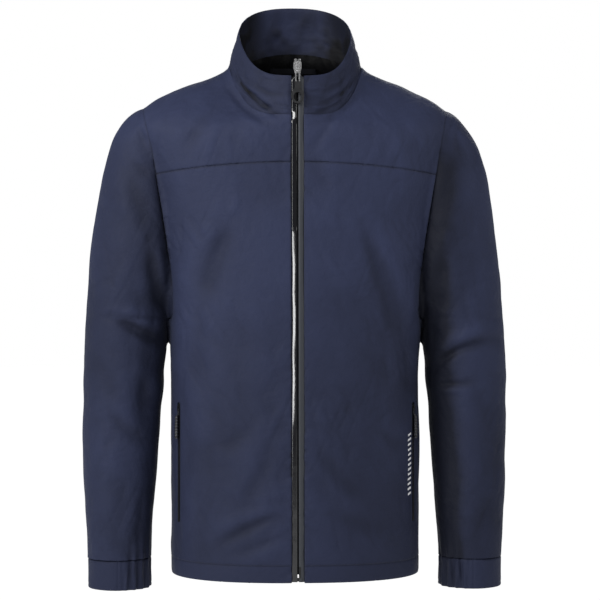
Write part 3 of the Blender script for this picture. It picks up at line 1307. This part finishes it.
# Faces of the tape film, (across, depth) from the coil outward to FILM_EDGE.
FILM_EDGE = 8.0
FILM_ROUNDED = [(0.95, 1.5), (1.05, 0.75), (1.5, 0.28), (2.3, 0.05), (3.2, -0.05), (4.3, 0.02),
                (5.5, 0.25), (6.8, 0.6), (8.0, 1.15)]
FILM_FLAT = [(0.95, 1.5), (1.05, 0.75), (1.5, 0.28), (2.3, 0.05), (3.2, -0.02), (4.3, 0.0),
             (5.5, 0.08), (6.8, 0.2), (8.0, 0.4)]
FILM_TURNED = [(0.95, 1.2), (1.0, 0.3), (1.25, -0.30), (1.9, -0.52), (3.2, -0.13), (4.8, 0.40),
               (6.4, 0.98), (7.4, 1.38), (8.0, 1.7)]


def tape_profile(side, scale, edge, wing, face=FILM_ROUNDED):
    """The film, and the flat wing of tape that runs out behind the cloth."""
    wing_depth = 2.6
    film = [((x if x < FILM_EDGE else edge) * scale, depth * scale) for x, depth in face]
    tape = [(edge * scale + 1.0, wing_depth), (wing, wing_depth), (wing, wing_depth + 0.5),
            (edge * scale + 0.4, wing_depth + 0.5)]
    under = [((edge - 0.6) * scale, 2.1 * scale), (5.5 * scale, 1.5 * scale),
             (3.2 * scale, 1.2 * scale), (1.6 * scale, 1.7 * scale)]
    return np.array(film + tape + under) * [side, 1]


def sweep(zip_frame, profiles, heights, wobble, seed):
    """A closed strip from one profile, or one for each height."""
    grid = np.empty((len(heights), profiles.shape[-2], 3))
    grid[..., :2] = profiles
    grid[..., 2] = heights[:, None]
    waves = noise(grid.reshape(-1, 3) * [0.2, 0.2, 1], 16, seed)
    grid[..., 1] += wobble * waves.reshape(grid.shape[:2])
    return placed(zip_frame, capped(grid))


def coil(zip_frame, side, scale, start, end, pitch):
    """A flattened helix along the tape edge."""
    steps = 8
    turns = np.arange(int((end - start) / pitch) * steps + 1) / steps
    angle = turns * math.tau
    across = side * (2.35 + 1.25 * np.cos(angle)) * scale
    depth = (3.3 + 0.95 * np.sin(angle)) * scale
    path = np.stack([across, depth, start + turns * pitch], 1)
    return placed(zip_frame, tube(path, 0.33 * scale, 4))


heights = np.concatenate([np.linspace(HEM + 1.5, 684, 260), [688, 692, 697, 702, 704.5]])
narrowing = np.maximum(0.30, 1.0 - np.maximum(heights - 676, 0) / 8.0)
# How far the right film is turned outward: a short stretch at the neck, a long one below.
neck_turn = smooth(618, 622, heights) * (1 - smooth(633, 637, heights))
long_turn = smooth(150, 235, heights) * (1 - smooth(468, 476, heights))
long_turn *= 0.93 + 0.12 * np.sin(heights / 17.0) * np.sin(heights / 43.0)
film_turn = np.clip(neck_turn + long_turn, 0, 1)[:, None, None]
for name, side, material, closed, turned_out, coil_start in (
        ("left", 1, SATIN_FILM, FILM_ROUNDED, FILM_ROUNDED, 3.0),
        ("right", -1, GLOSS_FILM, FILM_FLAT, FILM_TURNED, 11.0)):
    rest, rolled = (tape_profile(side, 1.0, FILM_EDGE, 15.5, face)
                    for face in (closed, turned_out))
    profiles = rest + (rolled - rest) * film_turn
    profiles[..., 0] *= narrowing[:, None]
    solid = sweep(FRONT_ZIP, profiles, heights, wobble=0.10, seed=61 + side)
    piece("front_tape_" + name, solid, material, "zip_tape", "front_zip_tape_" + name,
          uv=solid[0][:, [0, 2]], sharp=60)
    piece("front_coil_" + name, coil(FRONT_ZIP, side, 1.0, coil_start, 700.0, pitch=2.6), COIL,
          "zip_coil", "front_zip_coil_" + name)

# Storm flap behind the zip, with soft waves.
x, z = np.meshgrid(np.linspace(-15, 16.5, 14), np.linspace(4, 677, 170), indexing="ij")
flap_faces = halved(grid_faces(*x.shape))
x, z = x.ravel(), z.ravel()
depth = 7.9 + 0.5 * noise(np.stack([x * 0.4, 0 * x, z], 1), 30, 71) + 0.0006 * x**2
points = frame_points(FRONT_ZIP, np.stack([x, depth, z], 1))
flap_normals = np.tile(FRONT_ZIP[3], (len(points), 1))
flap_faces = turned(points, flap_faces, flap_normals)
piece("storm_flap_cloth", thicken(points, flap_normals, flap_faces, 1.0), LINING, "lining",
      "storm_flap", uv=np.stack([x, z], 1), sharp=60)

POCKET_SCALE = 0.6  # pocket zip parts against the front zip's
POCKET_ZIP_HALF = 82.0
BRIDGE_Z, BRIDGE_DEPTH = 73.9, -3.1 * POCKET_SCALE  # top of the puller's loop


def pocket_puller():
    """A cord loop from the slider's bridge into a ribbed, flattened grip."""
    loop = resampled([(x, BRIDGE_DEPTH, BRIDGE_Z - drop) for x, drop in (
        (-1.3, 7.5), (-1.5, 3), (-1.3, 0.6), (0, 0), (1.3, 0.6), (1.5, 3), (1.3, 7.5))], 40)
    along = np.linspace(0, 1, 90)
    radius = np.interp(along, [0, 0.04, 0.1, 0.6, 0.93, 0.985, 1.0],
                       [0.4, 1.5, 2.3, 3.0, 3.1, 2.3, 0.3])
    ribs = 0.34 * np.sin(np.clip((along - 0.16) / 0.7, 0, 1) * math.tau * 12)
    ribs *= smooth(0.12, 0.2, along) * (1 - smooth(0.82, 0.9, along))
    radius = (radius + ribs)[:, None]
    angle = np.linspace(0, math.tau, 20, endpoint=False)
    depth = BRIDGE_DEPTH - 2.3 * smooth(0.0, 0.12, along)[:, None]
    z = np.repeat((BRIDGE_Z - 6.5 - 35.0 * along)[:, None], 20, 1)
    grip = np.stack([radius * np.cos(angle), depth + 0.95 * radius * np.sin(angle), z], -1)
    return joined([tube(loop, 0.45, 8), capped(grip)])


for name, pocket in POCKETS.items():
    for half, side in SIDES:
        solid = sweep(pocket, tape_profile(side, POCKET_SCALE, 7.2, 9.8),
                      np.linspace(-POCKET_ZIP_HALF, POCKET_ZIP_HALF, 60), wobble=0.12, seed=81)
        piece(f"pocket_tape_{name}_{half}", solid, POCKET_FILM, "zip_tape",
              f"pocket_zip_{name}_tape_{half}", uv=solid[0][:, [1, 2]], sharp=60)
        solid = coil(pocket, side, POCKET_SCALE, -POCKET_ZIP_HALF + 1.5, POCKET_ZIP_HALF - 2,
                     pitch=1.7)
        piece(f"pocket_coil_{name}_{half}", solid, COIL, "zip_coil",
              f"pocket_zip_{name}_coil_{half}")
    piece(f"pocket_grip_{name}", placed(pocket, pocket_puller()), GRIP, "moulded_plastic",
          f"pocket_zip_{name}_puller", rides=f"{name}_pocket_pull")

# A row of slanted dashes beside the left pocket, each corner laid on the cloth below it.
DASH_COUNT, DASH_PITCH, DASH_START = 13, 6.8, -43
DASH_FACES = np.array([[0, 1, 2, 3], [7, 6, 5, 4], [0, 4, 5, 1], [1, 5, 6, 2], [2, 6, 7, 3],
                       [3, 7, 4, 0]])
panel = surfaces["front_panel_left"][2]
out = POCKETS["left"][3]
solids = []
for i in range(DASH_COUNT):
    middle = DASH_START + i * DASH_PITCH
    corners = frame_points(POCKETS["left"], np.array([
        (x, -0.62, middle + rise_z)
        for x, rise_z in ((-19.5, -2.6), (-11.5, -0.2), (-11.5, 2.6), (-19.5, 0.2))]))
    for corner in corners:
        near = bell(np.linalg.norm(panel - corner, axis=1), 3.0)
        height = ((panel - corner) @ out * near).sum() / max(near.sum(), 1e-9)
        corner += out * (height + 0.45)
    solids.append(outward(np.concatenate([corners, corners - out * 0.4]), [DASH_FACES]))
piece("pocket_mark", joined(solids), REFLECTIVE, "reflective", "reflective_strip", sharp=30)

# Pocket bags: thin pouches between shell and lining, with one rounded lower corner.
for name, side in SIDES:
    inner_layer(
        "bag_" + name, "pocket_bag_" + name, LINING, depth=5.0, around=300, thickness=0.4,
        puff=0.15, seed=91, lengths=np.linspace(torso_length(48.0), torso_length(246.0), 70),
        cuts=[
            lambda d: side * d[:, 0] - 64.0,
            lambda d: -12.0 - d[:, 1],
            lambda d: pocket_slot(d) - 6.0,
            lambda d: 60 - np.hypot(np.maximum(110 - side * d[:, 0], 0),
                                    np.maximum(100 - d[:, 2], 0)),
        ])

# ---------- drawcord: round the hem inside, its ends led in and knotted ----------
CORD_Z, CORD_RADIUS, CORD_END_X = 14.0, 1.1, 154.0
angles = np.linspace(math.radians(-30), math.radians(210), 220)
ring = torso(angles, np.full(len(angles), torso_length(CORD_Z)))
ring = ring - unit(np.cross(np.gradient(ring, axis=0), [0, 0, 1.0])) * 3.9
ring[:, 2] = CORD_Z
solids = [tube(ring, CORD_RADIUS, 10)]
for _, side in SIDES:
    end = resampled([(x, y, CORD_Z) for x, y in (
        (171.2, -12), (164, -12.2), (158, -12), (155, -10.5), (CORD_END_X, -7),
        (CORD_END_X, 10), (CORD_END_X, 44))], 60)
    solids.append(tube(end * [side, 1, 1], CORD_RADIUS, 10))
    swell = np.linspace(0, math.pi, 12)
    knot = np.stack([np.full(12, side * CORD_END_X), 44 - 2.4 * np.cos(swell) + 0.5,
                     np.full(12, CORD_Z)], 1)
    solids.append(tube(knot, 0.2 + 2.2 * np.sin(swell), 12))
solid = joined(solids)
x, y, z = solid[0].T
piece("drawcord", solid, CORD, "cord", "hem_drawcord", uv=np.stack([x + y, z * 2], 1))

# ---------- hang loop at the back of the neck ----------
path = resampled([(x, y, 708) for x, y in (
    (-33, 72.4), (-33, 68), (-31.5, 65), (-28, 64), (0, 63.8), (28, 64), (31.5, 65), (33, 68),
    (33, 72.4))], 90)
across = np.cross(unit(np.gradient(path, axis=0)), [0, 0, 1.0])
section = np.array([(0.65, -3.9), (0.75, -2), (0.75, 2), (0.65, 3.9), (-0.65, 3.9), (-0.75, 2),
                    (-0.75, -2), (-0.65, -3.9)])  # (out, z)
grid = path[:, None] + across[:, None] * section[:, :1] + section[:, 1:] * [0, 0, 1.0]
solid = capped(grid)
piece("hang_loop_tape", solid, LOOP_TAPE, "cord", "hang_loop", uv=solid[0][:, [0, 2]], sharp=50)

# ---------- topstitching ----------
STITCH, STITCH_GAP, STITCH_RADIUS = 2.7, 0.9, 0.24


def stitches(path, normals):
    lengths = lengths_along(path)
    pitch = STITCH + STITCH_GAP
    radii = np.array([0.1, STITCH_RADIUS, STITCH_RADIUS, STITCH_RADIUS, 0.1])
    rise = np.array([-0.25, 0.05, 0.12, 0.05, -0.25])[:, None]
    solids = []
    for i in range(int(lengths[-1] / pitch)):
        at = np.array([0, 0.12, 0.5, 0.88, 1.0]) * STITCH + i * pitch + STITCH_GAP / 2
        points = interpolated(at, lengths, path) + interpolated(at, lengths, normals) * rise
        solids.append(tube(points, radii, 5))
    return solids


def stitched_line(panel, field, level, key):
    """Stitches over the points of a panel on one of its edge lines, in order of the key."""
    points, normals, finished = surfaces[panel]
    on_line = np.abs(field(points) - level) < 0.26
    path, normals, order_key = finished[on_line], normals[on_line], key(points[on_line])
    order = np.argsort(order_key)
    keep = np.concatenate([[True], np.diff(order_key[order]) > 1e-6])
    path, normals = path[order][keep], normals[order][keep]
    if len(path) < 4:
        return []
    if len(path) > 4:
        for _ in range(3):
            path[1:-1] = (path[:-2] + 2 * path[1:-1] + path[2:]) / 4
    return stitches(path, normals)


def round_front(points):
    return np.arctan2(points[:, 0], -points[:, 1]) * 150


def round_back(points):
    return np.arctan2(points[:, 0], points[:, 1]) * 150


def upward(points):
    return points[:, 2]


solids = []
for name, _ in SIDES:
    solids += stitched_line("front_panel_" + name, hem_seam, FINE_SEAM_HALF, round_front)
    solids += stitched_line("front_panel_" + name, front_yoke, -SEAM_HALF, round_front)
    solids += stitched_line("front_panel_" + name, zip_edge, SEAM_HALF, upward)
    solids += stitched_line("front_yoke_" + name, zip_edge, SEAM_HALF, upward)
solids += stitched_line("back_panel", hem_seam, FINE_SEAM_HALF, round_back)
solids += stitched_line("back_panel", back_yoke, -SEAM_HALF, round_back)
solid = joined(solids)
piece("topstitching", solid, THREAD, "shell", uv=solid[0][:, [0, 2]])

# ---------- cord lock springs: the lower end is fixed, the upper goes with the button ----------
for name, _ in SIDES:
    low, high = (np.array(corner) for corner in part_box("cord_lock_spring_" + name))
    centre = (low + high) / 2 * 1000 - SHIFT
    bottom = low[2] * 1000 - SHIFT[2] + 0.25
    top = high[2] * 1000 - SHIFT[2] - 0.25
    radius = (high[0] - low[0]) * 500 - 0.3
    along = np.linspace(0, 1, 90)
    # The end turns lie nearly flat.
    climb = np.interp(along, [0, 0.2, 0.8, 1.0], [0, 0.06, 0.94, 1.0])
    angle = along * 8 * math.pi
    path = np.stack([centre[0] + radius * np.cos(angle), centre[1] + radius * np.sin(angle),
                     bottom + (top - bottom) * climb], 1)
    solid = tube(path, 0.2, 7)
    obj = piece("lock_spring_" + name, solid, METAL, "zip_metal", "cord_lock_spring_" + name,
                rides=None)
    x, y = centre[0] / 1000, centre[1] / 1000
    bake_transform(obj)

# ---------- hardware that stays as the frame has it ----------
for name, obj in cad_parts.items():
    if obj.hide_render:
        continue
    metal = (any(word in name for word in ("stop", "eyelet", "spring"))
             or name in ("front_zip_slider", "front_zip_pull_link"))
    obj.data.materials.clear()
    obj.data.materials.append(METAL if metal else PLASTIC)
    if "spring" not in name:
        bevel = obj.modifiers.new("soft_edges", "BEVEL")
        bevel.width = 0.0007 if name == "front_zip_slider" else 0.00022
        bevel.segments = 3
        bevel.limit_method = "ANGLE"
        bevel.angle_limit = math.radians(35)
        bevel.use_clamp_overlap = True

# ---------- stage ----------
# Brightness of the floor and the world: as a light source, and as the camera sees them.
FLOOR_GLOW, FLOOR_SEEN_EXTRA = 0.66, 0.32
AMBIENT, WORLD_SEEN = 0.11, 1.0

scene = bpy.context.scene
bpy.ops.mesh.primitive_plane_add(size=60, location=(0, 0.5, -0.85))
floor = bpy.context.object
floor.name = "floor"
material, graph, inputs = new_material("floor_paper", (0.30, 0.30, 0.305), rough=0.95)
inputs["Emission Color"].default_value = (1, 1, 1, 1)
seen = graph.node("ShaderNodeLightPath").outputs["Is Camera Ray"]
graph.put(inputs["Emission Strength"],
          graph.math("ADD", FLOOR_GLOW, graph.math("MULTIPLY", seen, FLOOR_SEEN_EXTRA)))
floor.data.materials.append(material)

world = bpy.data.worlds.new("studio")
scene.world = world
world.use_nodes = True
graph = Graph(world.node_tree)
seen = graph.node("ShaderNodeLightPath").outputs["Is Camera Ray"]
background = world.node_tree.nodes["Background"].inputs
background[0].default_value = (1.0, 1.0, 1.0, 1)
graph.put(background[1],
          graph.math("ADD", AMBIENT, graph.math("MULTIPLY", seen, WORLD_SEEN - AMBIENT)))

# Name, place, target, width, height, power in watts.
LIGHTS = [
    ("key", (-2.15, -1.5, 1.9), (0, 0, 0.5), 0.9, 0.9, 44),
    ("side", (2.2, -1.0, 1.6), (0, 0, 0.5), 1.0, 1.3, 15),
    ("front_high", (-0.45, -1.65, 2.05), (0, 0, 0.55), 1.3, 0.9, 16),
    ("strip", (-1.25, -1.75, 0.72), (0, -0.12, 0.45), 0.25, 1.1, 8.5),
    ("back", (0.6, 2.6, 1.8), (0, 0, 0.45), 1.6, 1.6, 30),
]


def aim(obj, place, target):
    obj.location = place
    direction = Vector(target) - Vector(place)
    obj.rotation_euler = direction.to_track_quat("-Z", "Y").to_euler()


for name, place, target, width, height, power in LIGHTS:
    light = bpy.data.lights.new(name, "AREA")
    light.shape = "RECTANGLE"
    light.size, light.size_y = width, height
    light.energy = power
    obj = bpy.data.objects.new(name, light)
    scene.collection.objects.link(obj)
    aim(obj, place, target)

CAMERA_DISTANCE, VIEW_WIDTH = 2.5, 0.852  # metres; the width is that seen at the distance
camera = bpy.data.cameras.new("camera")
camera.sensor_width = 36
camera.lens = 36 * CAMERA_DISTANCE / VIEW_WIDTH
obj = bpy.data.objects.new("camera", camera)
scene.collection.objects.link(obj)
aim(obj, (-0.086, -CAMERA_DISTANCE, 0.412), (0.0071, 0, 0.412))
scene.camera = obj
scene.view_settings.view_transform = "Standard"
scene.view_settings.look = "None"
